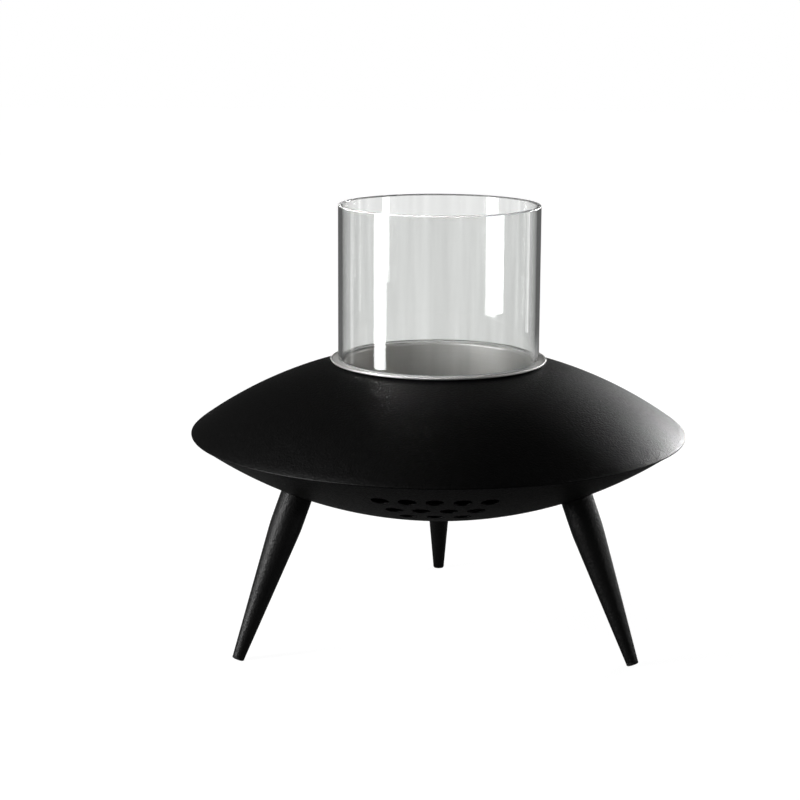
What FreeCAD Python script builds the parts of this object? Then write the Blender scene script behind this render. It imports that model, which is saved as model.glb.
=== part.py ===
import FreeCAD, Part
import math
import os

from FreeCAD import Vector

# Outdoor charcoal stove. A black steel saucer stands on three leaning legs, a fire bowl hangs in the
# saucer's mouth, and a glass chimney stands on the bowl's flange. Millimetres, +Z up, origin on the stove's
# axis at floor level. The front, with a group of vents between two legs, faces -Y. Azimuths are degrees
# from +X towards +Y.

# Saucer: two sheet caps of one radius. The upper one's rim is turned down into a low skirt, which stands
# just above the lower one's edge and leaves a fine seam. Its mouth is turned down into a collar.
rim_radius = 185.0
cap_rise = 61.0
shell_wall = 1.5
rim_bend_inside = 0.5
skirt_height = 0.6
seam_rise = 0.4
seam_gap = 0.3
mouth_bend_inside = 1.0
collar_drop = 8.0

# Vents: a group between each two legs, where each row has one hole less than the row outside it.
vent_diameter = 12.8
vent_pitch = 19.0
vent_rim_margin = 24.5
vent_row_step = 20.0
vent_row_count = 3
vent_outer_row_holes = 5

# Legs: turned rods square to the lower shell, with a level sole on the pad at each tip.
leg_places = ("rear", "front_left", "front_right")
rear_leg_angle = 90.0
leg_inset = 67.0
leg_length = 127.5
leg_top_diameter = 23.6
leg_parallel_length = 24.0
leg_tip_diameter = 9.0
leg_blend_radius = 140.0
pad_thickness = 2.0
pad_edge_radius = 0.8
sole_cut = 0.8

# Leg bolts and the washers that fit the lower shell's inside.
bolt_diameter = 8.0
bolt_length = 25.0
bolt_head_flats = 13.0
bolt_head_height = 5.3
washer_diameter = 28.0
washer_thickness = 3.0
bolt_hole_clearance = 0.3
thread_clearance = 0.05
bore_run_out = 3.0
drill_point_angle = 118.0
head_chamfer_angle = 30.0

# Lugs: folded strips on both shells above each leg, whose ears are screwed together inside the rim.
lug_inset = 45.0
lug_width = 18.0
lug_sheet = 2.0
lug_ear_length = 20.0
lug_foot_length = 12.0
lug_bend_inside = 1.0
lug_screw_diameter = 5.0
lug_screw_length = 12.0
lug_screw_flats = 8.0
lug_screw_head_height = 3.5
lug_nut_height = 4.7

# Glass chimney, standing loose on the bowl's flange.
glass_radius = 75.0
glass_wall = 3.0
glass_height = 115.5
glass_edge_radius = 1.0

# Fire bowl: a drawn cup, whose flange lies on the saucer's mouth and has an upturned edge.
bowl_sheet = 1.0
bowl_depth = 72.0
bowl_corner = 16.0
bowl_inset = 2.5
bowl_clearance = 1.0
lip_bend_inside = 1.0
flange_margin = 5.5
flange_bend_inside = 0.8
flange_edge_height = 0.4
air_hole_count = 16
air_hole_diameter = 7.0
air_hole_margin = 0.5

# Grate: a perforated plate on riveted feet, loose in the bowl.
grate_clearance = 9.5
grate_thickness = 2.0
grate_ring_count = 3
grate_edge_margin = 13.5
grate_holes_per_ring = 6
grate_hole_diameter = 9.0
grate_finger_hole_diameter = 12.0
grate_foot_count = 3
grate_foot_height = 22.0
grate_foot_diameter = 6.0
grate_rivet_diameter = 4.0
rivet_clearance = 0.05

# Gaps where one piece rests on another: fixed curved faces, the bowl on the saucer's mouth, and loose pieces
# on flat steel.
seat_gap = 0.05
bowl_seat_gap = 0.3
loose_seat_gap = 0.1

# The saucer and its legs. All caps share one radius, and the legs set the height of the lower cap's centre.
leg_azimuths = {place: rear_leg_angle + 360 * i / len(leg_places) for i, place in enumerate(leg_places)}
cap_radius = (rim_radius**2 + cap_rise**2) / (2 * cap_rise)
cap_inner_radius = cap_radius - shell_wall
leg_radius = rim_radius - leg_inset
leg_lean = math.asin(leg_radius / cap_radius)
leg_tip_radius = leg_tip_diameter / 2
leg_tip_reach = cap_radius + leg_length
lower_centre_z = (
    (leg_tip_reach - pad_edge_radius) * math.cos(leg_lean)
    + (leg_tip_radius - pad_edge_radius) * math.sin(leg_lean)
    + pad_edge_radius
    - sole_cut
)

# The rim, from the lower shell's edge up to the centre of the upper cap.
lower_edge_radius = rim_radius - shell_wall - seam_gap
lower_edge_angle = math.acos(lower_edge_radius / cap_radius)
skirt_bottom_z = lower_centre_z - cap_radius * math.sin(lower_edge_angle) + seam_rise
skirt_top_z = skirt_bottom_z + skirt_height
rim_bend = rim_bend_inside + shell_wall
rim_bend_radius = rim_radius - rim_bend
upper_centre_z = skirt_top_z - math.sqrt((cap_radius - rim_bend) ** 2 - rim_bend_radius**2)

# The mouth, and the bowl and glass that stand over it.
bowl_radius = glass_radius - glass_wall - bowl_inset
mouth_radius = bowl_radius + bowl_sheet + bowl_clearance
mouth_bend = mouth_bend_inside + shell_wall
mouth_bend_radius = mouth_radius + mouth_bend
mouth_bend_z = upper_centre_z + math.sqrt((cap_radius - mouth_bend) ** 2 - mouth_bend_radius**2)
flange_top_z = mouth_bend_z + mouth_bend + bowl_seat_gap + bowl_sheet
bowl_floor_z = flange_top_z - bowl_depth

# The grate in the bowl, with its feet between its two outer rings of holes.
grate_bottom_z = bowl_floor_z + loose_seat_gap + grate_foot_height
grate_radius = bowl_radius - grate_clearance
grate_ring_step = (grate_radius - grate_edge_margin) / grate_ring_count
grate_foot_radius = grate_ring_step * (grate_ring_count - 0.5)
grate_foot_azimuths = [90 + 360 * i / grate_foot_count for i in range(grate_foot_count)]

# The lugs meet halfway between the shells. The leg bolts' heads are levelled from the lower cap's centre.
lug_screw_radius = rim_radius - lug_inset
lug_joint_z = (upper_centre_z + lower_centre_z) / 2
bolt_seat_z = washer_thickness + seat_gap - cap_inner_radius


def section_point(radius, z):
    return Vector(radius, 0, z)


def line(start, end):
    return Part.makeLine(start, end)


def arc(centre, radius, start_angle, end_angle):
    """Arc in the XZ plane, its angles in radians from +X towards +Z."""
    angles = (start_angle, (start_angle + end_angle) / 2, end_angle)
    points = [centre + Vector(radius * math.cos(a), 0, radius * math.sin(a)) for a in angles]
    return Part.Arc(*points).toShape()


def revolve(edges):
    """Solid turned about Z from the closed section that the edges form."""
    face = Part.Face(Part.Wire(Part.__sortEdges__(edges)))
    return face.revolve(Vector(0, 0, 0), Vector(0, 0, 1), 360)


def turn_polygon(points):
    """Solid turned about Z from a section of straight lines, given as (radius, z) corners."""
    corners = [section_point(radius, z) for radius, z in points]
    return revolve([line(a, b) for a, b in zip(corners, corners[1:] + corners[:1])])


def turn_sheet(skin, thickness):
    """Solid turned about Z between a skin and the same skin inset by the sheet's thickness."""
    outer = skin(0.0)
    inner = skin(thickness)
    start = line(outer[0].Vertexes[0].Point, inner[0].Vertexes[0].Point)
    end = line(outer[-1].Vertexes[-1].Point, inner[-1].Vertexes[-1].Point)
    return revolve(outer + inner + [start, end])


def turned(shape, azimuth):
    """Copy of a shape turned about the stove's axis."""
    copy = shape.copy()
    copy.rotate(Vector(0, 0, 0), Vector(0, 0, 1), azimuth)
    return copy


def on_lower_cap(shape, radius, azimuth):
    """Carries a shape that stands on -Z below the origin out along the lower cap, square to it."""
    copy = shape.copy()
    lean = math.degrees(math.asin(radius / cap_radius))
    copy.rotate(Vector(0, 0, 0), Vector(0, 1, 0), -lean)
    copy.rotate(Vector(0, 0, 0), Vector(0, 0, 1), azimuth)
    copy.translate(Vector(0, 0, lower_centre_z))
    return copy


def on_sphere(sphere_radius, radius):
    """Height below the centre of a sphere at which it has the given radius."""
    return -math.sqrt(sphere_radius**2 - radius**2)


def hexagon(flats, height, bore_diameter=0.0):
    """Hexagonal head or nut from z = 0 up, with the corners of its top face turned off."""
    corner_radius = flats / 2 / math.cos(math.pi / 6)
    corners = [turned(Part.Vertex(corner_radius, 0, 0), 360 / 6 * i).Point for i in range(7)]
    prism = Part.Face(Part.makePolygon(corners)).extrude(Vector(0, 0, height))
    chamfer = (corner_radius - flats / 2) * math.tan(math.radians(head_chamfer_angle))
    blank = turn_polygon(
        [
            (bore_diameter / 2, 0),
            (corner_radius, 0),
            (corner_radius, height - chamfer),
            (flats / 2, height),
            (bore_diameter / 2, height),
        ]
    )
    return prism.common(blank)


def upper_skin(inset):
    """Section of the upper shell from its skirt over the cap to its collar."""
    rim_centre = section_point(rim_bend_radius, skirt_top_z)
    mouth_centre = section_point(mouth_bend_radius, mouth_bend_z)
    cap_centre = section_point(0, upper_centre_z)
    rim_angle = math.atan2(skirt_top_z - upper_centre_z, rim_bend_radius)
    mouth_angle = math.atan2(mouth_bend_z - upper_centre_z, mouth_bend_radius)
    skirt = rim_radius - inset
    collar = mouth_radius + inset
    return [
        line(section_point(skirt, skirt_bottom_z), section_point(skirt, skirt_top_z)),
        arc(rim_centre, rim_bend - inset, 0, rim_angle),
        arc(cap_centre, cap_radius - inset, rim_angle, mouth_angle),
        arc(mouth_centre, mouth_bend - inset, mouth_angle, math.pi),
        line(section_point(collar, mouth_bend_z), section_point(collar, mouth_bend_z - collar_drop)),
    ]


def lower_skin(inset):
    """Section of the lower shell from the axis to its edge."""
    centre = section_point(0, lower_centre_z)
    return [arc(centre, cap_radius - inset, -math.pi / 2, -lower_edge_angle)]


def make_lower_shell():
    shell = turn_sheet(lower_skin, shell_wall)
    through = 2 * shell_wall
    top = Vector(0, 0, through / 2 - (cap_radius + cap_inner_radius) / 2)
    vent = Part.makeCylinder(vent_diameter / 2, through, top, Vector(0, 0, -1))
    bolt_hole = Part.makeCylinder(bolt_diameter / 2 + bolt_hole_clearance, through, top, Vector(0, 0, -1))
    cutters = [on_lower_cap(bolt_hole, leg_radius, azimuth) for azimuth in leg_azimuths.values()]
    for row in range(vent_row_count):
        row_radius = rim_radius - vent_rim_margin - row * vent_row_step
        holes = vent_outer_row_holes - row
        step = math.degrees(vent_pitch / row_radius)
        for leg_azimuth in leg_azimuths.values():
            middle = leg_azimuth + 360 / len(leg_places) / 2
            first = middle - step * (holes - 1) / 2
            cutters += [on_lower_cap(vent, row_radius, first + step * i) for i in range(holes)]
    return shell.cut(cutters)


def make_leg():
    """Turned leg below the origin: dished top, threaded bore, parallel neck and a straight taper."""
    seat_radius = cap_radius + seat_gap
    top_radius = leg_top_diameter / 2
    bore_radius = bolt_diameter / 2 + thread_clearance
    bore_bottom_z = bolt_seat_z - bolt_length - bore_run_out
    drill_tip_z = bore_bottom_z - bore_radius / math.tan(math.radians(drill_point_angle / 2))
    tip_z = pad_thickness - leg_tip_reach
    knee_z = -cap_radius - leg_parallel_length
    taper = math.atan2(top_radius - leg_tip_radius, knee_z - tip_z)
    blend_z = knee_z + leg_blend_radius * math.tan(taper / 2)
    blend_centre = section_point(top_radius - leg_blend_radius, blend_z)
    blend = arc(blend_centre, leg_blend_radius, 0, -taper)
    bore_top = section_point(bore_radius, on_sphere(seat_radius, bore_radius))
    shoulder = section_point(top_radius, on_sphere(seat_radius, top_radius))
    tip = section_point(leg_tip_radius, tip_z)
    bore_bottom = section_point(bore_radius, bore_bottom_z)
    return revolve(
        [
            arc(
                section_point(0, 0),
                seat_radius,
                -math.acos(bore_radius / seat_radius),
                -math.acos(top_radius / seat_radius),
            ),
            line(shoulder, blend.Vertexes[0].Point),
            blend,
            line(blend.Vertexes[-1].Point, tip),
            line(tip, section_point(0, tip_z)),
            line(section_point(0, tip_z), section_point(0, drill_tip_z)),
            line(section_point(0, drill_tip_z), bore_bottom),
            line(bore_bottom, bore_top),
        ]
    )


def make_foot_pad():
    """Pad under the leg's tip, with a rounded lower edge."""
    top_z = pad_thickness - leg_tip_reach
    edge_z = pad_edge_radius - leg_tip_reach
    edge_centre = section_point(leg_tip_radius - pad_edge_radius, edge_z)
    edge = arc(edge_centre, pad_edge_radius, -math.pi / 2, 0)
    return revolve(
        [
            line(section_point(0, -leg_tip_reach), edge.Vertexes[0].Point),
            edge,
            line(edge.Vertexes[-1].Point, section_point(leg_tip_radius, top_z)),
            line(section_point(leg_tip_radius, top_z), section_point(0, top_z)),
            line(section_point(0, top_z), section_point(0, -leg_tip_reach)),
        ]
    )


def make_level_pad(azimuth):
    """Foot pad in its place, with its sole cut level at the floor."""
    pad = on_lower_cap(make_foot_pad(), leg_radius, azimuth)
    below_floor = Part.makeCylinder(leg_tip_reach, leg_length, Vector(0, 0, 0), Vector(0, 0, -1))
    return pad.cut(below_floor)


def make_leg_washer():
    """Washer with a flat top, whose underside fits the hollow of the lower shell."""
    hole_radius = bolt_diameter / 2 + bolt_hole_clearance
    outer_radius = washer_diameter / 2
    seat_radius = cap_inner_radius - seat_gap
    inner_edge = section_point(hole_radius, on_sphere(seat_radius, hole_radius))
    outer_edge = section_point(outer_radius, on_sphere(seat_radius, outer_radius))
    top_inner = section_point(hole_radius, bolt_seat_z)
    top_outer = section_point(outer_radius, bolt_seat_z)
    underside = arc(
        section_point(0, 0),
        seat_radius,
        -math.acos(hole_radius / seat_radius),
        -math.acos(outer_radius / seat_radius),
    )
    return revolve(
        [underside, line(outer_edge, top_outer), line(top_outer, top_inner), line(top_inner, inner_edge)]
    )


def make_bolt(diameter, length, flats, head_height):
    """Hexagon bolt with its head above z = 0 and its shank below."""
    shank = Part.makeCylinder(diameter / 2, length, Vector(0, 0, 0), Vector(0, 0, -1))
    return hexagon(flats, head_height).fuse(shank)


def make_leg_bolt():
    bolt = make_bolt(bolt_diameter, bolt_length, bolt_head_flats, bolt_head_height)
    bolt.translate(Vector(0, 0, bolt_seat_z))
    return bolt


def make_lug(side, centre_z):
    """Folded strip at azimuth 0, with a foot that fits inside the upper cap (side 1) or the lower (-1)."""
    seat_radius = cap_inner_radius - seat_gap
    ear_end = lug_screw_radius - lug_ear_length / 2
    web_front = lug_screw_radius + lug_ear_length / 2
    web_back = web_front + lug_sheet
    foot_end = web_back + lug_foot_length
    ear_face_z = lug_joint_z + side * lug_sheet

    def cap_z(radius):
        return centre_z - side * on_sphere(seat_radius, radius)

    beyond_z = cap_z(0)
    slope = (cap_z(web_back) - cap_z(foot_end)) / lug_foot_length
    foot_rise = lug_sheet * math.sqrt(1 + slope**2)
    corners = [
        (ear_end, ear_face_z),
        (web_front, ear_face_z),
        (web_front, beyond_z),
        (foot_end, beyond_z),
        (foot_end, cap_z(foot_end) - side * foot_rise),
        (web_back, cap_z(web_back) - side * foot_rise),
        (web_back, lug_joint_z),
        (ear_end, lug_joint_z),
    ]
    points = [Vector(radius, -lug_width / 2, z) for radius, z in corners]
    strip = Part.Face(Part.makePolygon(points + points[:1])).extrude(Vector(0, lug_width, 0))
    strip = folded(strip, web_front, ear_face_z, lug_bend_inside)
    strip = folded(strip, web_back, lug_joint_z, lug_bend_inside + lug_sheet)
    hollow = Part.makeSphere(seat_radius, Vector(0, 0, centre_z))
    hole_radius = lug_screw_diameter / 2 + bolt_hole_clearance
    hole_start = Vector(lug_screw_radius, 0, lug_joint_z - 2 * lug_sheet)
    hole = Part.makeCylinder(hole_radius, 4 * lug_sheet, hole_start)
    return strip.common(hollow).cut(hole)


def folded(strip, x, z, radius):
    """Rounds the edge of a strip that runs along Y at the given place."""
    tolerance = 1e-6
    edges = [
        edge
        for edge in strip.Edges
        if all(abs(v.X - x) < tolerance and abs(v.Z - z) < tolerance for v in edge.Vertexes)
    ]
    return strip.makeFillet(radius, edges)


def make_lug_screw():
    """Screw down through both ears of a lug pair at azimuth 0."""
    screw = make_bolt(lug_screw_diameter, lug_screw_length, lug_screw_flats, lug_screw_head_height)
    screw.translate(Vector(lug_screw_radius, 0, lug_joint_z + lug_sheet))
    return screw


def make_lug_nut():
    """Nut under the lower ear of a lug pair at azimuth 0."""
    nut = hexagon(lug_screw_flats, lug_nut_height, lug_screw_diameter + 2 * thread_clearance)
    nut.rotate(Vector(0, 0, 0), Vector(1, 0, 0), 180)
    nut.translate(Vector(lug_screw_radius, 0, lug_joint_z - lug_sheet))
    return nut


def bowl_skin(inset):
    """Section of the bowl's inner face from the axis over its lip to the flange's upturned edge."""
    lip_bend = lip_bend_inside + bowl_sheet
    corner_radius = bowl_radius - bowl_corner
    lip_radius = bowl_radius + lip_bend
    edge_bend_radius = glass_radius + flange_margin - bowl_sheet - flange_bend_inside
    corner_centre = section_point(corner_radius, bowl_floor_z + bowl_corner)
    lip_centre = section_point(lip_radius, flange_top_z - lip_bend)
    edge_centre = section_point(edge_bend_radius, flange_top_z + flange_bend_inside)
    floor_z = bowl_floor_z - inset
    wall = bowl_radius + inset
    flange_z = flange_top_z - inset
    edge = edge_bend_radius + flange_bend_inside + inset
    edge_top_z = edge_centre.z + flange_edge_height
    return [
        line(section_point(0, floor_z), section_point(corner_radius, floor_z)),
        arc(corner_centre, bowl_corner + inset, -math.pi / 2, 0),
        line(section_point(wall, corner_centre.z), section_point(wall, lip_centre.z)),
        arc(lip_centre, lip_bend - inset, math.pi, math.pi / 2),
        line(section_point(lip_radius, flange_z), section_point(edge_bend_radius, flange_z)),
        arc(edge_centre, flange_bend_inside + inset, -math.pi / 2, 0),
        line(section_point(edge, edge_centre.z), section_point(edge, edge_top_z)),
    ]


def make_fire_bowl():
    cup = turn_sheet(bowl_skin, bowl_sheet)
    hole_z = bowl_floor_z + bowl_corner + air_hole_diameter / 2 + air_hole_margin
    inside = Vector(bowl_radius - bowl_sheet, 0, hole_z)
    hole = Part.makeCylinder(air_hole_diameter / 2, 3 * bowl_sheet, inside, Vector(1, 0, 0))
    return cup.cut([turned(hole, 360 * i / air_hole_count) for i in range(air_hole_count)])


def make_glass_chimney():
    bottom_z = flange_top_z + loose_seat_gap
    bore_radius = glass_radius - glass_wall
    tube = turn_polygon(
        [
            (bore_radius, bottom_z),
            (glass_radius, bottom_z),
            (glass_radius, bottom_z + glass_height),
            (bore_radius, bottom_z + glass_height),
        ]
    )
    rims = [edge for edge in tube.Edges if isinstance(edge.Curve, Part.Circle)]
    return tube.makeFillet(glass_edge_radius, rims)


def make_grate_plate():
    base = Vector(0, 0, grate_bottom_z)
    plate = Part.makeCylinder(grate_radius, grate_thickness, base)
    cutters = [Part.makeCylinder(grate_finger_hole_diameter / 2, grate_thickness, base)]
    for ring in range(1, grate_ring_count + 1):
        hole_start = base + Vector(ring * grate_ring_step, 0, 0)
        hole = Part.makeCylinder(grate_hole_diameter / 2, grate_thickness, hole_start)
        holes = ring * grate_holes_per_ring
        cutters += [turned(hole, 360 * i / holes) for i in range(holes)]
    rivet_radius = grate_rivet_diameter / 2 + rivet_clearance
    rivet_hole = Part.makeCylinder(rivet_radius, grate_thickness, base + Vector(grate_foot_radius, 0, 0))
    cutters += [turned(rivet_hole, azimuth) for azimuth in grate_foot_azimuths]
    return plate.cut(cutters)


def make_grate_feet():
    """Pins under the grate's plate, riveted through it."""
    sole = Vector(grate_foot_radius, 0, bowl_floor_z + loose_seat_gap)
    pin = Part.makeCylinder(grate_foot_diameter / 2, grate_foot_height, sole)
    rivet_start = sole + Vector(0, 0, grate_foot_height)
    foot = pin.fuse(Part.makeCylinder(grate_rivet_diameter / 2, grate_thickness, rivet_start))
    return Part.makeCompound([turned(foot, azimuth) for azimuth in grate_foot_azimuths])


def export(node, shape):
    shape.exportStep(f"parts/{node}.step")


os.makedirs("parts", exist_ok=True)

export("upper_shell", turn_sheet(upper_skin, shell_wall))
export("lower_shell", make_lower_shell())

leg = make_leg()
for place, azimuth in leg_azimuths.items():
    export(f"leg_{place}", on_lower_cap(leg, leg_radius, azimuth))
    export(f"foot_pad_{place}", make_level_pad(azimuth))

for node, piece in (("leg_washers", make_leg_washer()), ("leg_bolts", make_leg_bolt())):
    copies = [on_lower_cap(piece, leg_radius, azimuth) for azimuth in leg_azimuths.values()]
    export(node, Part.makeCompound(copies))

upper_lug = make_lug(1, upper_centre_z)
lower_lug = make_lug(-1, lower_centre_z)
for place, azimuth in leg_azimuths.items():
    export(f"upper_lug_{place}", turned(upper_lug, azimuth))
    export(f"lower_lug_{place}", turned(lower_lug, azimuth))

for node, piece in (("lug_screws", make_lug_screw()), ("lug_nuts", make_lug_nut())):
    export(node, Part.makeCompound([turned(piece, azimuth) for azimuth in leg_azimuths.values()]))

export("fire_bowl", make_fire_bowl())
export("glass_chimney", make_glass_chimney())
export("grate_plate", make_grate_plate())
export("grate_feet", make_grate_feet())
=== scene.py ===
import math

import bmesh
import bpy
from mathutils import Matrix, Vector


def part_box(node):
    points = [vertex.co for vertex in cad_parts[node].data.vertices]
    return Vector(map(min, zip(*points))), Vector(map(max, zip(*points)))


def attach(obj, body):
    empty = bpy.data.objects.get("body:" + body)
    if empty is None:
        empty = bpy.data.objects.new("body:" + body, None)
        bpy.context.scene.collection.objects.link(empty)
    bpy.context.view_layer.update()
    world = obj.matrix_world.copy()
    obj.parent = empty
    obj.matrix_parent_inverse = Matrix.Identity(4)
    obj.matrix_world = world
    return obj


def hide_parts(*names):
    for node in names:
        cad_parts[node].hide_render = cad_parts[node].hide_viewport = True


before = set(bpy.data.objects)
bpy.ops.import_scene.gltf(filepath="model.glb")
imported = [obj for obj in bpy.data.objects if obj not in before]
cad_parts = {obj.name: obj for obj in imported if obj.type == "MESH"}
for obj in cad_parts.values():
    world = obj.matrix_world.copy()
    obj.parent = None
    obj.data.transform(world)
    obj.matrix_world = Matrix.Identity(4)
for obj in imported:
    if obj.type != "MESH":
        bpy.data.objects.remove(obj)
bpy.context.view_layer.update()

# Lower shell: the saucer's underside, a cap spun from steel sheet, punched and then powder coated.
# Its vents lie on rings about the stove's axis, in three groups of rows, and are square to the sheet.
# The legs are bolted to it.
mm = 0.001
sheet = 1.5 * mm
cap_rise = 61 * mm
rim_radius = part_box("upper_shell")[1].x
cap_radius = (rim_radius**2 + cap_rise**2) / (2 * cap_rise)
lower_low, lower_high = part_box("lower_shell")
lower_centre_z = lower_low.z + cap_radius
lower_edge_angle = -math.degrees(math.acos(lower_high.x / cap_radius))
lower_cap_steps = 72
leg_azimuths = {"rear": 90, "front_left": 210, "front_right": 330}
leg_ring_radius = rim_radius - 67 * mm
leg_bolt_hole_radius = 4.3 * mm
vent_azimuth = 30
vent_radius = 6.4 * mm
vent_pitch = 19 * mm
vent_edge_radius = 0.4 * mm
outer_vent_ring = rim_radius - 24.5 * mm
vent_ring_step = 20 * mm
vent_row_holes = (5, 4, 3)


def arc(centre, radius, start, end, steps):
    """Points of a section along an arc, its angles in degrees from outwards towards upwards."""
    angles = [math.radians(start + (end - start) * i / steps) for i in range(steps + 1)]
    return [(centre[0] + radius * math.cos(a), centre[1] + radius * math.sin(a)) for a in angles]


def settle(piece):
    """Turns what a piece's modifiers make of it into its plain mesh."""
    made = piece.evaluated_get(bpy.context.evaluated_depsgraph_get())
    blank = piece.data
    piece.data = bpy.data.meshes.new_from_object(made)
    piece.modifiers.clear()
    bpy.data.meshes.remove(blank)


def shade(piece):
    """Smooth faces with crisp edges, where the larger faces keep their true normals beside small bends."""
    crisp_angle = 32
    piece.data.shade_smooth()
    piece.data.set_sharp_from_angle(angle=math.radians(crisp_angle))
    weighted = piece.modifiers.new("true normals", "WEIGHTED_NORMAL")
    weighted.weight = 100
    weighted.keep_sharp = True
    settle(piece)


def spin(name, section, closed=True, segments=256):
    """Piece turned about Z from a section of (radius, height) points."""
    same_point = 0.001 * mm
    shape = bmesh.new()
    corners = [shape.verts.new((radius, 0, height)) for radius, height in section]
    followers = corners[1:] + corners[:1] if closed else corners[1:]
    sides = [shape.edges.new(pair) for pair in zip(corners, followers)]
    bmesh.ops.spin(
        shape,
        geom=corners + sides,
        cent=(0, 0, 0),
        axis=(0, 0, 1),
        angle=2 * math.pi,
        steps=segments,
        use_merge=True,
    )
    bmesh.ops.remove_doubles(shape, verts=shape.verts, dist=same_point)
    bmesh.ops.recalc_face_normals(shape, faces=shape.faces)
    mesh = bpy.data.meshes.new(name)
    shape.to_mesh(mesh)
    shape.free()
    piece = bpy.data.objects.new(name, mesh)
    bpy.context.scene.collection.objects.link(piece)
    shade(piece)
    return piece


def connect(node, inputs):
    """Gives a node's inputs a value each, or links them to a socket or to another node's first output."""
    for socket, value in inputs.items():
        if isinstance(value, bpy.types.Node):
            value = value.outputs[0]
        if isinstance(value, bpy.types.NodeSocket):
            node.id_data.links.new(value, node.inputs[socket])
        else:
            node.inputs[socket].default_value = value


def add_node(tree, kind, inputs=None, stops=(), **settings):
    """Adds a node with its settings, its links and the stops of its colour ramp."""
    node = tree.nodes.new(kind)
    for name, value in settings.items():
        setattr(node, name, value)
    for i, (position, colour) in enumerate(stops):
        node.color_ramp.elements[i].position = position
        node.color_ramp.elements[i].color = linear(colour)
    connect(node, inputs or {})
    return node


def linear(colour):
    """Linear red, green, blue and alpha of an sRGB hex colour."""
    parts = [int(colour[i : i + 2], 16) / 255 for i in (1, 3, 5)]
    return [p / 12.92 if p <= 0.04045 else ((p + 0.055) / 1.055) ** 2.4 for p in parts] + [1]


def start_material(name):
    """New material with its tree, the Object coordinates of a point on the piece, and its shader."""
    material = bpy.data.materials.new(name)
    material.use_nodes = True
    tree = material.node_tree
    coords = add_node(tree, "ShaderNodeTexCoord").outputs["Object"]
    return material, tree, coords, tree.nodes["Principled BSDF"]


# One row of punched holes: a cutter on each place of a ring about Z, in groups spread round the ring.
punch_row = bpy.data.node_groups.new("punch_row", "GeometryNodeTree")
punch_sockets = {}
for label, kind in (
    ("Blank", "NodeSocketGeometry"),
    ("Cutter", "NodeSocketObject"),
    ("Ring radius", "NodeSocketFloat"),
    ("Ring height", "NodeSocketFloat"),
    ("Tilt", "NodeSocketFloat"),
    ("First azimuth", "NodeSocketFloat"),
    ("Groups", "NodeSocketInt"),
    ("Holes in a group", "NodeSocketInt"),
    ("Hole spacing", "NodeSocketFloat"),
    ("Finish", "NodeSocketMaterial"),
):
    socket = punch_row.interface.new_socket(label, in_out="INPUT", socket_type=kind)
    punch_sockets[label] = socket.identifier
punch_row.interface.new_socket("Punched", in_out="OUTPUT", socket_type="NodeSocketGeometry")
given = add_node(punch_row, "NodeGroupInput").outputs
group_size = given["Holes in a group"]
index = add_node(punch_row, "GeometryNodeInputIndex")
total = add_node(punch_row, "ShaderNodeMath", {0: given["Groups"], 1: group_size}, operation="MULTIPLY")
hole = add_node(punch_row, "ShaderNodeMath", {0: index, 1: group_size}, operation="MODULO")
share = add_node(punch_row, "ShaderNodeMath", {0: index, 1: group_size}, operation="DIVIDE")
group = add_node(punch_row, "ShaderNodeMath", {0: share}, operation="FLOOR")
last = add_node(punch_row, "ShaderNodeMath", {0: group_size, 1: 1.0}, operation="SUBTRACT")
middle = add_node(punch_row, "ShaderNodeMath", {0: last, 1: 2.0}, operation="DIVIDE")
offset = add_node(punch_row, "ShaderNodeMath", {0: hole, 1: middle}, operation="SUBTRACT")
group_step = add_node(punch_row, "ShaderNodeMath", {0: 2 * math.pi, 1: given["Groups"]}, operation="DIVIDE")
group_turn = add_node(
    punch_row,
    "ShaderNodeMath",
    {0: group, 1: group_step, 2: given["First azimuth"]},
    operation="MULTIPLY_ADD",
)
azimuth = add_node(
    punch_row,
    "ShaderNodeMath",
    {0: offset, 1: given["Hole spacing"], 2: group_turn},
    operation="MULTIPLY_ADD",
)
start = add_node(punch_row, "ShaderNodeCombineXYZ", {"X": given["Ring radius"], "Z": given["Ring height"]})
place = add_node(
    punch_row, "ShaderNodeVectorRotate", {"Vector": start, "Angle": azimuth}, rotation_type="Z_AXIS"
)
turn = add_node(punch_row, "ShaderNodeCombineXYZ", {"Y": given["Tilt"], "Z": azimuth})
places = add_node(punch_row, "GeometryNodePoints", {"Count": total, "Position": place})
cutter = add_node(punch_row, "GeometryNodeObjectInfo", {"Object": given["Cutter"]})
cutters = add_node(
    punch_row,
    "GeometryNodeInstanceOnPoints",
    {"Points": places, "Instance": cutter.outputs["Geometry"], "Rotation": turn},
)
cut = add_node(
    punch_row,
    "GeometryNodeMeshBoolean",
    {"Mesh 1": given["Blank"], "Mesh 2": cutters},
    operation="DIFFERENCE",
    solver="MANIFOLD",
)
whole = add_node(punch_row, "GeometryNodeRealizeInstances", {"Geometry": cut})
finished = add_node(
    punch_row, "GeometryNodeSetMaterial", {"Geometry": whole, "Material": given["Finish"]}
)
add_node(punch_row, "NodeGroupOutput", {"Punched": finished})


def make_cutter(radius, thickness, edge_radius):
    """Punch for a hole whose edges are rounded where it meets the faces of a sheet at z = 0."""
    half = thickness / 2
    flare_end = 110
    flare = arc((radius + edge_radius, half - edge_radius), edge_radius, 180, flare_end, steps=5)
    overshoot = half + edge_radius
    upper = flare + [(flare[-1][0], overshoot), (0, overshoot)]
    lower = [(r, -z) for r, z in reversed(upper)]
    return spin("cutter", lower + upper, closed=False, segments=64)


def punch(piece, cutter, finish, rows):
    """Punches rows of holes into a piece and leaves it a plain mesh."""
    for row in rows:
        modifier = piece.modifiers.new("punch", "NODES")
        modifier.node_group = punch_row
        for label, value in {"Cutter": cutter, "Finish": finish, **row}.items():
            modifier[punch_sockets[label]] = value
    settle(piece)
    bpy.data.objects.remove(cutter)
    shade(piece)


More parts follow.
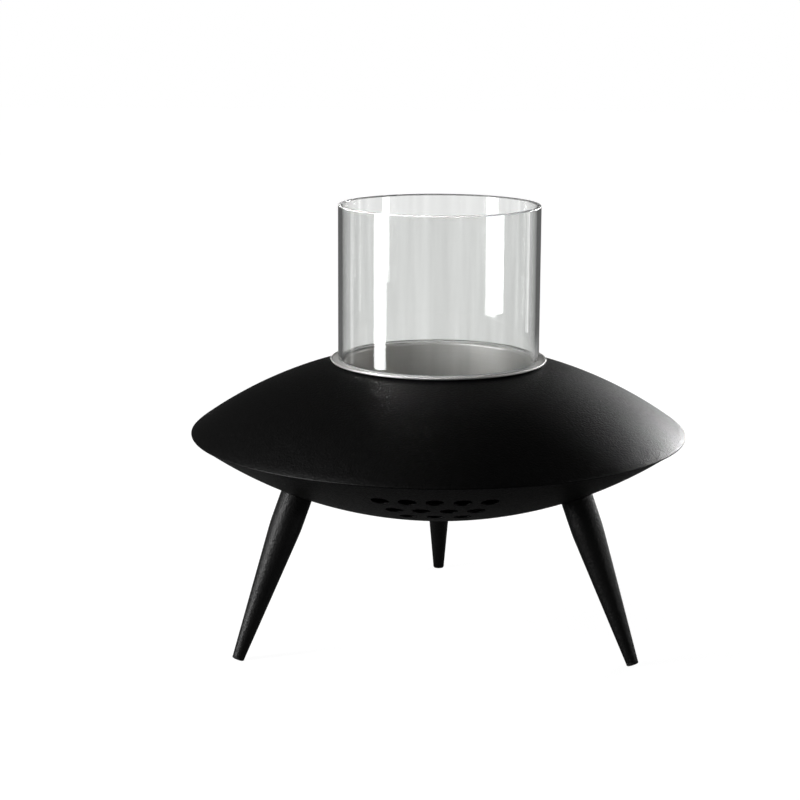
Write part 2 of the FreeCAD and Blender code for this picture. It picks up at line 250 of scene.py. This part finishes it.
# Polyester powder coat with a fine sand texture, sprayed on steel and baked: nearly black, matt when
# seen square on, with a grainy sheen where light grazes it. The grain is drawn at about 1.6 mm, larger
# than it is, so that it shows in the render.
coat_grain = 1.6 * mm
coat_speck = 0.8 * mm
sand_coat, tree, coords, shader = start_material("textured_black_powder_coat")
grain = add_node(
    tree, "ShaderNodeTexNoise", {"Vector": coords, "Scale": 1 / coat_grain, "Detail": 2.0, "Roughness": 0.6}
)
speck = add_node(tree, "ShaderNodeTexVoronoi", {"Vector": coords, "Scale": 1 / coat_speck}, feature="F1")
relief = add_node(tree, "ShaderNodeBump", {"Height": grain, "Strength": 0.8, "Distance": 0.4 * mm})
fine_relief = add_node(
    tree, "ShaderNodeBump", {"Height": speck, "Strength": 0.2, "Distance": 0.1 * mm, "Normal": relief}
)
tone = add_node(tree, "ShaderNodeValToRGB", {"Fac": grain}, stops=((0.3, "#020202"), (0.7, "#070707")))
gloss = add_node(
    tree,
    "ShaderNodeMapRange",
    {"Value": grain, "From Min": 0.3, "From Max": 0.7, "To Min": 0.36, "To Max": 0.5},
)
connect(
    shader, {"Base Color": tone, "Roughness": gloss, "Normal": fine_relief, "Specular IOR Level": 0.15}
)

lower_centre = Vector((0, 0, lower_centre_z))
lower_section = (
    arc((0, lower_centre_z), cap_radius, -90, lower_edge_angle, lower_cap_steps)
    + arc((0, lower_centre_z), cap_radius - sheet, lower_edge_angle, -90, lower_cap_steps)
)
lower_shell = spin("spun_lower_shell", lower_section, closed=False)


def on_lower_cap(ring_radius):
    """Place of a hole through the lower shell, at a radius measured on its outer face."""
    lean = math.asin(ring_radius / cap_radius)
    middle = cap_radius - sheet / 2
    return {
        "Ring radius": middle * math.sin(lean),
        "Ring height": lower_centre_z - middle * math.cos(lean),
        "Tilt": -lean,
    }


bolt_hole_row = {
    **on_lower_cap(leg_ring_radius),
    "First azimuth": math.radians(leg_azimuths["rear"]),
    "Groups": len(leg_azimuths),
    "Holes in a group": 1,
}
punch(lower_shell, make_cutter(leg_bolt_hole_radius, sheet, vent_edge_radius), sand_coat, [bolt_hole_row])
vent_rows = []
for row, holes in enumerate(vent_row_holes):
    ring = outer_vent_ring - row * vent_ring_step
    vent_rows.append(
        {
            **on_lower_cap(ring),
            "First azimuth": math.radians(vent_azimuth),
            "Groups": len(leg_azimuths),
            "Holes in a group": holes,
            "Hole spacing": vent_pitch / ring,
        }
    )
punch(lower_shell, make_cutter(vent_radius, sheet, vent_edge_radius), sand_coat, vent_rows)
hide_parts("lower_shell")
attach(lower_shell, "saucer")

# Legs: three rods turned with a parallel neck and a long taper, dished at the top to fit the shell,
# coated satin black, and each held by one bolt from inside. They stand square to the lower shell.
leg_length = 127.5 * mm
leg_top_radius = 11.8 * mm
leg_tip_radius = 4.5 * mm
leg_neck = 24 * mm
leg_blend = 140 * mm
leg_edge_radius = 0.6 * mm
leg_edge_angle = 80
pad_thickness = 2 * mm
seat_gap = 0.05 * mm

# Satin powder coat over turned metal: black, with a slight grain that spreads the light along each leg
# into one broad soft highlight. The grain is drawn at about 1.6 mm, larger than it is, so that it shows.
film_wave = 1.6 * mm
satin_coat, tree, coords, shader = start_material("satin_black_powder_coat")
wave = add_node(tree, "ShaderNodeTexNoise", {"Vector": coords, "Scale": 1 / film_wave, "Detail": 2.0})
film = add_node(tree, "ShaderNodeBump", {"Height": wave, "Strength": 0.9, "Distance": 0.5 * mm})
tone = add_node(tree, "ShaderNodeValToRGB", {"Fac": wave}, stops=((0, "#020202"), (1, "#070707")))
gloss = add_node(tree, "ShaderNodeMapRange", {"Value": wave, "To Min": 0.4, "To Max": 0.54})
connect(shader, {"Base Color": tone, "Roughness": gloss, "Normal": film, "Specular IOR Level": 0.32})

leg_seat = cap_radius + seat_gap
leg_tip_z = pad_thickness - cap_radius - leg_length
leg_knee_z = -cap_radius - leg_neck
leg_taper = math.atan2(leg_top_radius - leg_tip_radius, leg_knee_z - leg_tip_z)
leg_blend_z = leg_knee_z + leg_blend * math.tan(leg_taper / 2)
dish_angle = math.degrees(math.asin((leg_top_radius - leg_edge_radius) / leg_seat)) - 90
dish = arc((0, 0), leg_seat, -90, dish_angle, steps=6)
leg_section = (
    dish
    + arc((dish[-1][0], dish[-1][1] - leg_edge_radius), leg_edge_radius, leg_edge_angle, 0, steps=5)
    + arc((leg_top_radius - leg_blend, leg_blend_z), leg_blend, 0, -math.degrees(leg_taper), steps=8)
    + [(leg_tip_radius, leg_tip_z), (0, leg_tip_z)]
)
leg_lean = math.asin(leg_ring_radius / cap_radius)
for side, azimuth in leg_azimuths.items():
    leg = spin(f"turned_leg_{side}", leg_section, closed=False, segments=96)
    turned_out = Matrix.Rotation(math.radians(azimuth), 4, "Z") @ Matrix.Rotation(-leg_lean, 4, "Y")
    leg.data.transform(Matrix.Translation(lower_centre) @ turned_out)
    leg.data.materials.append(satin_coat)
    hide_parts(f"leg_{side}")
    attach(leg, "saucer")

# Foot pads: moulded rubber caps on the tips of the legs, their soles level on the floor.
# Rubber is matt, a little grey, with a fine moulded grain.
pad_grain = 0.6 * mm
rubber, tree, coords, shader = start_material("moulded_rubber")
grain = add_node(tree, "ShaderNodeTexNoise", {"Vector": coords, "Scale": 1 / pad_grain, "Detail": 2.0})
relief = add_node(tree, "ShaderNodeBump", {"Height": grain, "Strength": 0.3, "Distance": 0.1 * mm})
tone = add_node(tree, "ShaderNodeValToRGB", {"Fac": grain}, stops=((0, "#0c0c0c"), (1, "#181818")))
connect(shader, {"Base Color": tone, "Roughness": 0.75, "Normal": relief, "Specular IOR Level": 0.3})
for side in leg_azimuths:
    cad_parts[f"foot_pad_{side}"].material_slots[0].material = rubber

# Bolts, washers, screws and nuts inside the saucer: cold-formed steel, zinc plated. They hold the legs
# and join the two shells.
# Zinc plating is a bright grey metal, softly blotched and only half polished.
zinc_blotch = 4 * mm
zinc, tree, coords, shader = start_material("zinc_plated_steel")
blotch = add_node(tree, "ShaderNodeTexNoise", {"Vector": coords, "Scale": 1 / zinc_blotch, "Detail": 3.0})
tone = add_node(tree, "ShaderNodeValToRGB", {"Fac": blotch}, stops=((0, "#a6a8ab"), (1, "#c4c6c8")))
gloss = add_node(tree, "ShaderNodeMapRange", {"Value": blotch, "To Min": 0.26, "To Max": 0.44})
connect(shader, {"Base Color": tone, "Roughness": gloss, "Metallic": 1.0})
for fastener in ("leg_bolts", "leg_washers", "lug_screws", "lug_nuts"):
    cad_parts[fastener].material_slots[0].material = zinc

# Lugs: folded steel strips welded inside both shells above the legs and coated with them. A screw
# through each pair draws the shells together.
for side in leg_azimuths:
    for level in ("upper", "lower"):
        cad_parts[f"{level}_lug_{side}"].material_slots[0].material = sand_coat

# Upper shell: the saucer's top, a cap spun from the same sheet and coated with it. Its rim rolls
# over in its last centimetre and ends a hair above the lower shell's edge, and its mouth is turned down
# into a collar round the fire bowl.
upper_low, upper_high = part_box("upper_shell")
rim_bend = 40 * mm
mouth_bend = 2.5 * mm
collar_drop = 8 * mm
mouth_radius = 71.5 * mm
cut_edge = sheet / 2
upper_cap_steps = 64
bend_steps = 12
edge_steps = 8
mouth_centre = (mouth_radius + mouth_bend, upper_high.z - mouth_bend)
upper_centre_z = mouth_centre[1] - math.sqrt((cap_radius - mouth_bend) ** 2 - mouth_centre[0] ** 2)
mouth_angle = math.degrees(math.atan2(mouth_centre[1] - upper_centre_z, mouth_centre[0]))
collar_end = (mouth_radius + cut_edge, mouth_centre[1] - collar_drop + cut_edge)

# The bend touches the cap inside and ends at the rim, so the rim, the bend's centre and the cap's centre
# are the corners of a triangle with known sides.
rim_end = (rim_radius - cut_edge, upper_low.z + cut_edge)
rim_reach = math.hypot(rim_end[0], rim_end[1] - upper_centre_z)
bend_reach = cap_radius - rim_bend
bend_to_rim = rim_bend - cut_edge
rim_angle = math.atan2(rim_end[1] - upper_centre_z, rim_end[0])
rim_angle += math.acos((bend_reach**2 + rim_reach**2 - bend_to_rim**2) / (2 * bend_reach * rim_reach))
rim_centre = (bend_reach * math.cos(rim_angle), upper_centre_z + bend_reach * math.sin(rim_angle))
rim_angle = math.degrees(rim_angle)
rim_end_angle = math.degrees(math.atan2(rim_end[1] - rim_centre[1], rim_end[0] - rim_centre[0]))
upper_section = (
    arc(rim_end, cut_edge, rim_end_angle - 180, rim_end_angle, edge_steps)
    + arc(rim_centre, rim_bend, rim_end_angle, rim_angle, bend_steps)
    + arc((0, upper_centre_z), cap_radius, rim_angle, mouth_angle, upper_cap_steps)
    + arc(mouth_centre, mouth_bend, mouth_angle, 180, bend_steps)
    + arc(collar_end, cut_edge, 180, 360, edge_steps)
    + arc(mouth_centre, mouth_bend - sheet, 180, mouth_angle, bend_steps)
    + arc((0, upper_centre_z), cap_radius - sheet, mouth_angle, rim_angle, upper_cap_steps)
    + arc(rim_centre, rim_bend - sheet, rim_angle, rim_end_angle, bend_steps)
)
upper_shell = spin("spun_upper_shell", upper_section)
upper_shell.data.materials.append(sand_coat)
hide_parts("upper_shell")
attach(upper_shell, "saucer")

# Fire bowl: a cup deep drawn from stainless sheet. Its flange lies on the saucer's mouth, with a small
# upturned edge round the chimney, and a ring of air holes is punched low in its wall.
bowl_low, bowl_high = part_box("fire_bowl")
bowl_sheet = 1 * mm
bowl_radius = 69.5 * mm
bowl_corner = 16 * mm
lip_bend = 2 * mm
flange_bend = 0.25 * mm
flange_edge_rise = 1.2 * mm
air_hole_radius = 3.5 * mm
air_hole_margin = 0.5 * mm
air_hole_edge = 0.2 * mm
air_holes = 16
bowl_floor_z = bowl_low.z + bowl_sheet
flange_top_z = bowl_high.z - flange_edge_rise
flange_bend_radius = bowl_high.x - bowl_sheet - flange_bend
corner_centre = (bowl_radius - bowl_corner, bowl_floor_z + bowl_corner)
lip_centre = (bowl_radius + lip_bend, flange_top_z - lip_bend)
flange_centre = (flange_bend_radius, flange_top_z + flange_bend)
bowl_cut_edge = bowl_sheet / 2
bowl_section = (
    [(0, bowl_floor_z)]
    + arc(corner_centre, bowl_corner, -90, 0, steps=16)
    + arc(lip_centre, lip_bend, 180, 90, steps=10)
    + arc(flange_centre, flange_bend, -90, 0, steps=6)
    + arc((bowl_high.x - bowl_cut_edge, flange_centre[1]), bowl_cut_edge, 180, 0, steps=8)
    + arc(flange_centre, flange_bend + bowl_sheet, 0, -90, steps=8)
    + arc(lip_centre, lip_bend - bowl_sheet, 90, 180, steps=8)
    + arc(corner_centre, bowl_corner + bowl_sheet, 0, -90, steps=16)
    + [(0, bowl_low.z)]
)

# Deep-drawn stainless steel, satin ground on a turntable: a grey metal with fine lines round the bowl
# that blur its reflections, a little more upwards than sideways. The lines are drawn 0.8 mm apart so
# that they show.
ground_line = 0.8 * mm
stainless, tree, coords, shader = start_material("satin_drawn_stainless_steel")
parts = add_node(tree, "ShaderNodeSeparateXYZ", {"Vector": coords}).outputs
flat_place = add_node(tree, "ShaderNodeCombineXYZ", {"X": parts["X"], "Y": parts["Y"]})
across = add_node(tree, "ShaderNodeVectorMath", {0: flat_place}, operation="LENGTH").outputs["Value"]
line_place = add_node(tree, "ShaderNodeCombineXYZ", {"X": across, "Y": parts["Z"]})
lines = add_node(
    tree,
    "ShaderNodeTexNoise",
    {"Vector": line_place, "Scale": 1 / ground_line, "Detail": 3.0, "Roughness": 0.7},
    noise_dimensions="2D",
)
relief = add_node(tree, "ShaderNodeBump", {"Height": lines, "Strength": 0.06, "Distance": 0.05 * mm})
gloss = add_node(tree, "ShaderNodeMapRange", {"Value": lines, "To Min": 0.5, "To Max": 0.62})
tone = add_node(tree, "ShaderNodeValToRGB", {"Fac": lines}, stops=((0, "#c6c5c3"), (1, "#dcdbd9")))
round_bowl = add_node(tree, "ShaderNodeTangent", direction_type="RADIAL", axis="Z")
connect(shader, {"Base Color": tone, "Roughness": gloss, "Normal": relief, "Metallic": 1.0})
connect(shader, {"Tangent": round_bowl, "Anisotropic": 0.25, "Anisotropic Rotation": 0.25})

fire_bowl = spin("drawn_fire_bowl", bowl_section, closed=False, segments=192)
air_hole_row = {
    "Ring radius": bowl_radius + bowl_sheet / 2,
    "Ring height": corner_centre[1] + air_hole_radius + air_hole_margin,
    "Tilt": math.radians(90),
    "Groups": air_holes,
    "Holes in a group": 1,
}
punch(fire_bowl, make_cutter(air_hole_radius, bowl_sheet, air_hole_edge), stainless, [air_hole_row])
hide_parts("fire_bowl")
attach(fire_bowl, "bowl")

# Grate: a round steel plate on three riveted feet, loose in the bowl. Rings of holes let air up through
# the charcoal, and a hook goes into the larger hole in its middle.
grate_low, grate_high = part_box("grate_plate")
grate_radius = grate_high.x
grate_thickness = grate_high.z - grate_low.z
grate_edge_radius = 0.4 * mm
grate_hole_radius = 4.5 * mm
finger_hole_radius = 6 * mm
rivet_hole_radius = 2.05 * mm
rivet_hole_edge = 0.1 * mm
grate_ring_step = 15.5 * mm
grate_rings = 3
holes_per_ring = 6
foot_azimuth = 90
foot_count = 3

# Hot-rolled steel plate with its mill finish: a dull warm grey, cloudy, with no grain to speak of.
mill_cloud = 12 * mm
mill_steel, tree, coords, shader = start_material("mill_finish_steel")
cloud = add_node(tree, "ShaderNodeTexNoise", {"Vector": coords, "Scale": 1 / mill_cloud, "Detail": 6.0})
tone = add_node(tree, "ShaderNodeValToRGB", {"Fac": cloud}, stops=((0, "#7d7a76"), (1, "#a19d98")))
gloss = add_node(tree, "ShaderNodeMapRange", {"Value": cloud, "To Min": 0.4, "To Max": 0.56})
relief = add_node(tree, "ShaderNodeBump", {"Height": cloud, "Strength": 0.1, "Distance": 0.2 * mm})
connect(shader, {"Base Color": tone, "Roughness": gloss, "Normal": relief, "Metallic": 1.0})

grate_rim = grate_radius - grate_edge_radius
grate_section = (
    [(0, grate_low.z)]
    + arc((grate_rim, grate_low.z + grate_edge_radius), grate_edge_radius, -90, 0, steps=4)
    + arc((grate_rim, grate_high.z - grate_edge_radius), grate_edge_radius, 0, 90, steps=4)
    + [(0, grate_high.z)]
)
grate = spin("punched_grate", grate_section, closed=False, segments=128)
grate_middle = {"Ring height": (grate_low.z + grate_high.z) / 2, "Holes in a group": 1}
ring_rows = [
    {**grate_middle, "Ring radius": ring * grate_ring_step, "Groups": ring * holes_per_ring}
    for ring in range(1, grate_rings + 1)
]
rivet_row = {
    **grate_middle,
    "Ring radius": (grate_rings - 0.5) * grate_ring_step,
    "First azimuth": math.radians(foot_azimuth),
    "Groups": foot_count,
}
finger_hole_row = {**grate_middle, "Groups": 1}
for radius, edge, rows in (
    (grate_hole_radius, grate_edge_radius, ring_rows),
    (finger_hole_radius, grate_edge_radius, [finger_hole_row]),
    (rivet_hole_radius, rivet_hole_edge, [rivet_row]),
):
    punch(grate, make_cutter(radius, grate_thickness, edge), mill_steel, rows)
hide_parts("grate_plate")
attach(grate, "grate")
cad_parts["grate_feet"].material_slots[0].material = mill_steel

# Chimney: a length of clear glass tube, cut and then ground at its ends, whose edges are rounded.
# It stands loose on the bowl's flange, inside the upturned edge.
glass_low, glass_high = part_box("glass_chimney")
glass_radius = glass_high.x
glass_wall = 3 * mm
glass_edge_radius = 1 * mm
bore = glass_radius - glass_wall + glass_edge_radius
outside = glass_radius - glass_edge_radius
glass_foot = glass_low.z + glass_edge_radius
glass_top = glass_high.z - glass_edge_radius
glass_section = []
for radius, height, start in (
    (bore, glass_foot, 180),
    (outside, glass_foot, -90),
    (outside, glass_top, 0),
    (bore, glass_top, 90),
):
    glass_section += arc((radius, height), glass_edge_radius, start, start + 90, steps=6)

# Borosilicate glass, drawn as tube: clear, with a trace of grey in its walls and the slow waviness of
# drawing that bends reflections slightly. Faint upright streaks of lighter and darker tint run along the
# tube: painted reflection streaks.
draw_wave = 45 * mm
streak_width = 9 * mm
streak_stretch = (1, 1, 0.06)
glass, tree, coords, shader = start_material("drawn_borosilicate_glass")
wave = add_node(tree, "ShaderNodeTexNoise", {"Vector": coords, "Scale": 1 / draw_wave, "Detail": 0.0})
relief = add_node(tree, "ShaderNodeBump", {"Height": wave, "Strength": 0.05, "Distance": 1 * mm})
upright = add_node(tree, "ShaderNodeMapping", {"Vector": coords, "Scale": streak_stretch})
painted_reflection_streaks = add_node(tree, "ShaderNodeTexNoise", {"Vector": upright, "Scale": 1 / streak_width, "Detail": 2.0})
tint = add_node(tree, "ShaderNodeValToRGB", {"Fac": painted_reflection_streaks}, stops=((0.3, "#ecedec"), (0.7, "#f9faf9")))
connect(shader, {"Base Color": tint, "Roughness": 0.0, "Normal": relief, "IOR": 1.474})
connect(shader, {"Transmission Weight": 1.0})
body_tint = add_node(tree, "ShaderNodeVolumeAbsorption", {"Color": linear("#808080"), "Density": 18.0})
connect(tree.nodes["Material Output"], {"Volume": body_tint})

chimney = spin("glass_tube", glass_section, segments=192)
chimney.data.materials.append(glass)

# Ground glass at the tube's cut ends: the same glass, matt from the wheel, so it scatters light and reads
# as a pale line.
ground_edge = glass.copy()
ground_edge.name = "ground_glass_edge"
shader = ground_edge.node_tree.nodes["Principled BSDF"]
connect(shader, {"Roughness": 0.25, "Transmission Weight": 0.7})
chimney.data.materials.append(ground_edge)
for face in chimney.data.polygons:
    if not glass_foot < face.center.z < glass_top:
        face.material_index = 1
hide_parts("glass_chimney")
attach(chimney, "glass")

# Studio: a pale floor that reads as white to the camera and still takes the stove's shadow, in a dim room
# with a white backdrop. Softboxes stand at both sides, in front, and behind the stove on the right. Four
# small ones with grids light the bowl through the open top of the chimney.
floor_half = 6.0
floor_mesh = bpy.data.meshes.new("floor")
floor_corners = [(-1, -1, 0), (1, -1, 0), (1, 1, 0), (-1, 1, 0)]
floor_mesh.from_pydata([Vector(corner) * floor_half for corner in floor_corners], [], [(0, 1, 2, 3)])
floor = bpy.data.objects.new("floor", floor_mesh)
bpy.context.scene.collection.objects.link(floor)
paper, tree, coords, shader = start_material("white_paper")
tree.nodes.remove(shader)
ray = add_node(tree, "ShaderNodeLightPath").outputs
lit_paper = add_node(tree, "ShaderNodeBsdfDiffuse", {"Color": linear("#646464")})

# Near the stove the floor glows less, which is painted shade round the stove: it lets the real shadow
# show, and the saucer's underside, which reflects this floor, stays dark.
glow_start = 0.4
glow_end = 1.5
away = add_node(tree, "ShaderNodeVectorMath", {0: coords}, operation="LENGTH").outputs["Value"]
out_of_painted_shade = add_node(
    tree,
    "ShaderNodeMapRange",
    {"Value": away, "From Min": glow_start, "From Max": glow_end},
    interpolation_type="SMOOTHSTEP",
)
camera_glow = add_node(tree, "ShaderNodeMapRange", {"Value": out_of_painted_shade, "To Min": 0.95, "To Max": 1.0})
glossy_glow = add_node(tree, "ShaderNodeMapRange", {"Value": out_of_painted_shade, "To Min": 0.0, "To Max": 0.13})
camera_share = add_node(
    tree, "ShaderNodeMath", {0: camera_glow, 1: ray["Is Camera Ray"]}, operation="MULTIPLY"
)
strength = add_node(
    tree,
    "ShaderNodeMath",
    {0: glossy_glow, 1: ray["Is Glossy Ray"], 2: camera_share},
    operation="MULTIPLY_ADD",
)
glow = add_node(tree, "ShaderNodeEmission", {"Color": linear("#ffffff"), "Strength": strength})
shadowed = add_node(tree, "ShaderNodeAddShader", {0: glow, 1: lit_paper})

# A ray that has only passed through glass since it left the camera sees the floor as plain white: its
# depth is all transmission.
floor_depth_margin = 0.5
plain_white = add_node(tree, "ShaderNodeEmission", {"Color": linear("#ffffff"), "Strength": 1.0})
straight = add_node(
    tree,
    "ShaderNodeMath",
    {0: ray["Ray Depth"], 1: ray["Transmission Depth"], 2: floor_depth_margin},
    operation="COMPARE",
)
through_glass = add_node(
    tree, "ShaderNodeMath", {0: straight, 1: ray["Is Transmission Ray"]}, operation="MULTIPLY"
)
surface = add_node(tree, "ShaderNodeMixShader", {0: through_glass, 1: shadowed, 2: plain_white})
connect(tree.nodes["Material Output"], {"Surface": surface})
floor_mesh.materials.append(paper)

# The backdrop is white to the camera, straight and through glass, and the room is dim to every other
# ray. A ray that ends in the room counts as one step deeper, so its margin is one wider.
room_depth_margin = floor_depth_margin + 1
world = bpy.data.worlds.new("studio")
world.use_nodes = True
bpy.context.scene.world = world
tree = world.node_tree
ray = add_node(tree, "ShaderNodeLightPath").outputs
room = tree.nodes["Background"]
connect(room, {"Color": linear("#ffffff"), "Strength": 0.04})
backdrop = add_node(tree, "ShaderNodeBackground", {"Color": linear("#ffffff"), "Strength": 1.0})
straight = add_node(
    tree,
    "ShaderNodeMath",
    {0: ray["Ray Depth"], 1: ray["Transmission Depth"], 2: room_depth_margin},
    operation="COMPARE",
)
surface = add_node(tree, "ShaderNodeMixShader", {0: straight, 1: room, 2: backdrop})
connect(tree.nodes["World Output"], {"Surface": surface})
saucer_middle = (0, 0, 0.18)
bowl_far_wall = (0.02, 0.06, 0.195)
grid_spread = 6


def add_softbox(name, bearing, elevation, distance, width, height, radiance, aim=saucer_middle):
    """Softbox facing a point, with sizes in metres.

    Its bearing is in degrees from the camera's side, right is positive.
    """
    light = bpy.data.lights.new(name, "AREA")
    light.shape = "RECTANGLE"
    light.size = width
    light.size_y = height
    light.energy = radiance * math.pi * width * height
    softbox = bpy.data.objects.new(name, light)
    softbox.matrix_world = (
        Matrix.Translation(aim)
        @ Matrix.Rotation(math.radians(bearing), 4, "Z")
        @ Matrix.Rotation(math.radians(90 - elevation), 4, "X")
        @ Matrix.Translation((0, 0, distance))
    )
    softbox.visible_camera = False
    bpy.context.scene.collection.objects.link(softbox)
    return softbox


add_softbox("left_strip", bearing=-68, elevation=18, distance=1.05, width=0.31, height=1.1, radiance=15.0)
add_softbox("right_strip", bearing=71, elevation=-1, distance=1.0, width=0.16, height=0.12, radiance=12.0)
add_softbox("front_softbox", bearing=-30, elevation=38, distance=1.3, width=1.2, height=0.5, radiance=0.6)
for bearing, radiance in ((10, 1.1), (-20, 1.3), (-50, 1.1), (-80, 1.9)):
    gridded = add_softbox(
        "bowl_light",
        bearing=bearing,
        elevation=45,
        distance=1.3,
        width=0.3,
        height=0.1,
        radiance=radiance,
        aim=bowl_far_wall,
    )
    gridded.data.spread = math.radians(grid_spread)
add_softbox(
    "left_side_strip", bearing=-114, elevation=0, distance=1.0, width=0.08, height=0.3, radiance=1.4
)
add_softbox(
    "right_side_strip", bearing=118, elevation=0, distance=1.0, width=0.06, height=0.22, radiance=3.0
)
add_softbox("right_softbox", bearing=112, elevation=14, distance=1.3, width=0.45, height=0.5, radiance=5.0)
rear_panel = add_softbox(
    "rear_panel", bearing=150, elevation=10, distance=1.3, width=0.6, height=0.45, radiance=1.6
)
rear_softbox = add_softbox(
    "rear_softbox", bearing=141, elevation=9.5, distance=1.3, width=0.25, height=0.27, radiance=38.0
)
for behind in (rear_panel, rear_softbox):
    behind.visible_transmission = False

# Camera: where the photograph was taken from, found from the outlines of saucer, legs and tube in it.
# Its place is in metres and its angles are in radians.
camera_distance = 1.5308
camera_turn = 0.0096
camera_height = 0.4951
camera_yaw = -0.0187
camera_pitch = 0.2040
camera_roll = 0.0046
focal_pixels = 2079.6
image_pixels = 800
camera = bpy.data.cameras.new("photo_camera")
camera.sensor_width = 36
camera.lens = camera.sensor_width * focal_pixels / image_pixels
viewpoint = bpy.data.objects.new("photo_camera", camera)
viewpoint.matrix_world = (
    Matrix.Rotation(camera_turn, 4, "Z")
    @ Matrix.Translation((0, -camera_distance, camera_height))
    @ Matrix.Rotation(-camera_yaw, 4, "Z")
    @ Matrix.Rotation(math.pi / 2 - camera_pitch, 4, "X")
    @ Matrix.Rotation(camera_roll, 4, "Z")
)
bpy.context.scene.collection.objects.link(viewpoint)
bpy.context.scene.camera = viewpoint
bpy.context.scene.view_settings.view_transform = "Standard"
